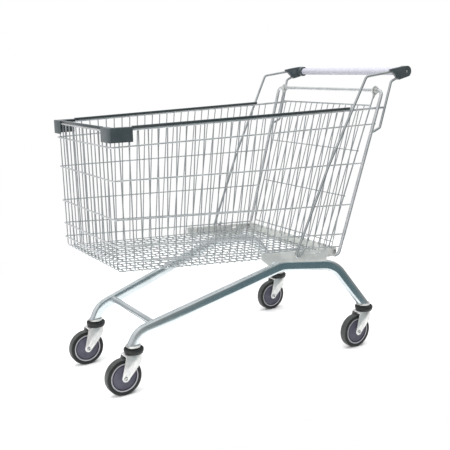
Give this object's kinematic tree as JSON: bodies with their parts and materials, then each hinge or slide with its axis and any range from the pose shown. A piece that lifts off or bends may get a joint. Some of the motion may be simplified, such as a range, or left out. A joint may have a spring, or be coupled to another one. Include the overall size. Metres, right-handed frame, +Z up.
{
  "type": "shopping trolley",
  "caption": "Rigid nesting wire-basket shopping trolley with swivel casters, push handle and swing-up rear gate",
  "frame": {"origin": "on the floor, under the middle of the whole trolley", "axes": "+Z up, -Y towards the nose, +Y towards the handle, +X towards the trolley's left side"},
  "size_m": [0.616, 1.173, 1.0335],
  "materials": {
    "wire_zinc": "bright zinc plate",
    "frame_zinc": "bright zinc plate",
    "plate_zinc": "satin zinc plate",
    "fork_zinc": "satin zinc plate",
    "fastener_zinc": "bright zinc plate",
    "bush_steel": "plain",
    "dark_plastic": "fine texture",
    "strip_plastic": "smooth satin",
    "ring_plastic": "smooth satin",
    "grip_plastic": "satin, pale lilac grey",
    "hub_plastic": "satin, purple grey",
    "tyre_rubber": "matt, charcoal"
  },
  "bodies": {
    "trolley": {"chassis_tube_left": "frame_zinc", "chassis_tube_right": "frame_zinc", "front_cross_tube": "frame_zinc", "rear_cross_plate": "plate_zinc", "side_bracket_left": "plate_zinc", "side_bracket_right": "plate_zinc", "bracket_bolts": "fastener_zinc", "basket_side_left": "wire_zinc", "basket_side_right": "wire_zinc", "basket_front": "wire_zinc", "basket_corners": "wire_zinc", "basket_floor": "wire_zinc", "rim_rod": "wire_zinc", "rim_strip_left": "strip_plastic", "rim_strip_right": "strip_plastic", "rim_strip_front": "strip_plastic", "bumper_left": "dark_plastic", "bumper_right": "dark_plastic", "rear_hoop": "wire_zinc", "hinge_caps": "plate_zinc", "front_stay_left": "wire_zinc", "front_stay_right": "wire_zinc", "rear_stay_left": "wire_zinc", "rear_stay_right": "wire_zinc", "handle_tube": "wire_zinc", "handle_grip": "grip_plastic", "handle_plugs": "dark_plastic", "handle_screws": "fastener_zinc", "handle_cap_left": "dark_plastic", "handle_cap_right": "dark_plastic", "caster_sockets": "frame_zinc", "king_bolts": "fastener_zinc", "king_nuts": "fastener_zinc"},
    "gate": {"gate_grille": "wire_zinc", "gate_side_rods": "wire_zinc", "gate_hinge_plates": "plate_zinc"},
    "swivel_front_left": {"fork_front_left": "fork_zinc", "dust_ring_front_left": "ring_plastic", "axle_front_left": "fastener_zinc"},
    "wheel_front_left": {"tyre_front_left": "tyre_rubber", "hub_front_left": "hub_plastic", "bush_front_left": "bush_steel"},
    "swivel_front_right": {"fork_front_right": "fork_zinc", "dust_ring_front_right": "ring_plastic", "axle_front_right": "fastener_zinc"},
    "wheel_front_right": {"tyre_front_right": "tyre_rubber", "hub_front_right": "hub_plastic", "bush_front_right": "bush_steel"},
    "swivel_rear_left": {"fork_rear_left": "fork_zinc", "dust_ring_rear_left": "ring_plastic", "axle_rear_left": "fastener_zinc"},
    "wheel_rear_left": {"tyre_rear_left": "tyre_rubber", "hub_rear_left": "hub_plastic", "bush_rear_left": "bush_steel"},
    "swivel_rear_right": {"fork_rear_right": "fork_zinc", "dust_ring_rear_right": "ring_plastic", "axle_rear_right": "fastener_zinc"},
    "wheel_rear_right": {"tyre_rear_right": "tyre_rubber", "hub_rear_right": "hub_plastic", "bush_rear_right": "bush_steel"}
  },
  "joints": [
    {"name": "gate_swing", "type": "hinge", "parent": "trolley", "child": "gate", "pos_m": [0, 0.454, 0.95], "axis": [-1, 0, 0], "range_deg": [0, 70]},
    {"name": "swivel_front_left", "type": "hinge", "parent": "trolley", "child": "swivel_front_left", "pos_m": [0.1555, -0.482, 0.14], "axis": [0, 0, 1], "continuous": true},
    {"name": "roll_front_left", "type": "hinge", "parent": "swivel_front_left", "child": "wheel_front_left", "pos_m": [0.1555, -0.524, 0.0625], "axis": [1, 0, 0], "continuous": true},
    {"name": "swivel_front_right", "type": "hinge", "parent": "trolley", "child": "swivel_front_right", "pos_m": [-0.1555, -0.482, 0.14], "axis": [0, 0, 1], "continuous": true},
    {"name": "roll_front_right", "type": "hinge", "parent": "swivel_front_right", "child": "wheel_front_right", "pos_m": [-0.1555, -0.524, 0.0625], "axis": [1, 0, 0], "continuous": true},
    {"name": "swivel_rear_left", "type": "hinge", "parent": "trolley", "child": "swivel_rear_left", "pos_m": [0.2675, 0.425, 0.14], "axis": [0, 0, 1], "continuous": true},
    {"name": "roll_rear_left", "type": "hinge", "parent": "swivel_rear_left", "child": "wheel_rear_left", "pos_m": [0.2675, 0.383, 0.0625], "axis": [1, 0, 0], "continuous": true},
    {"name": "swivel_rear_right", "type": "hinge", "parent": "trolley", "child": "swivel_rear_right", "pos_m": [-0.2675, 0.425, 0.14], "axis": [0, 0, 1], "continuous": true},
    {"name": "roll_rear_right", "type": "hinge", "parent": "swivel_rear_right", "child": "wheel_rear_right", "pos_m": [-0.2675, 0.383, 0.0625], "axis": [1, 0, 0], "continuous": true}
  ]
}
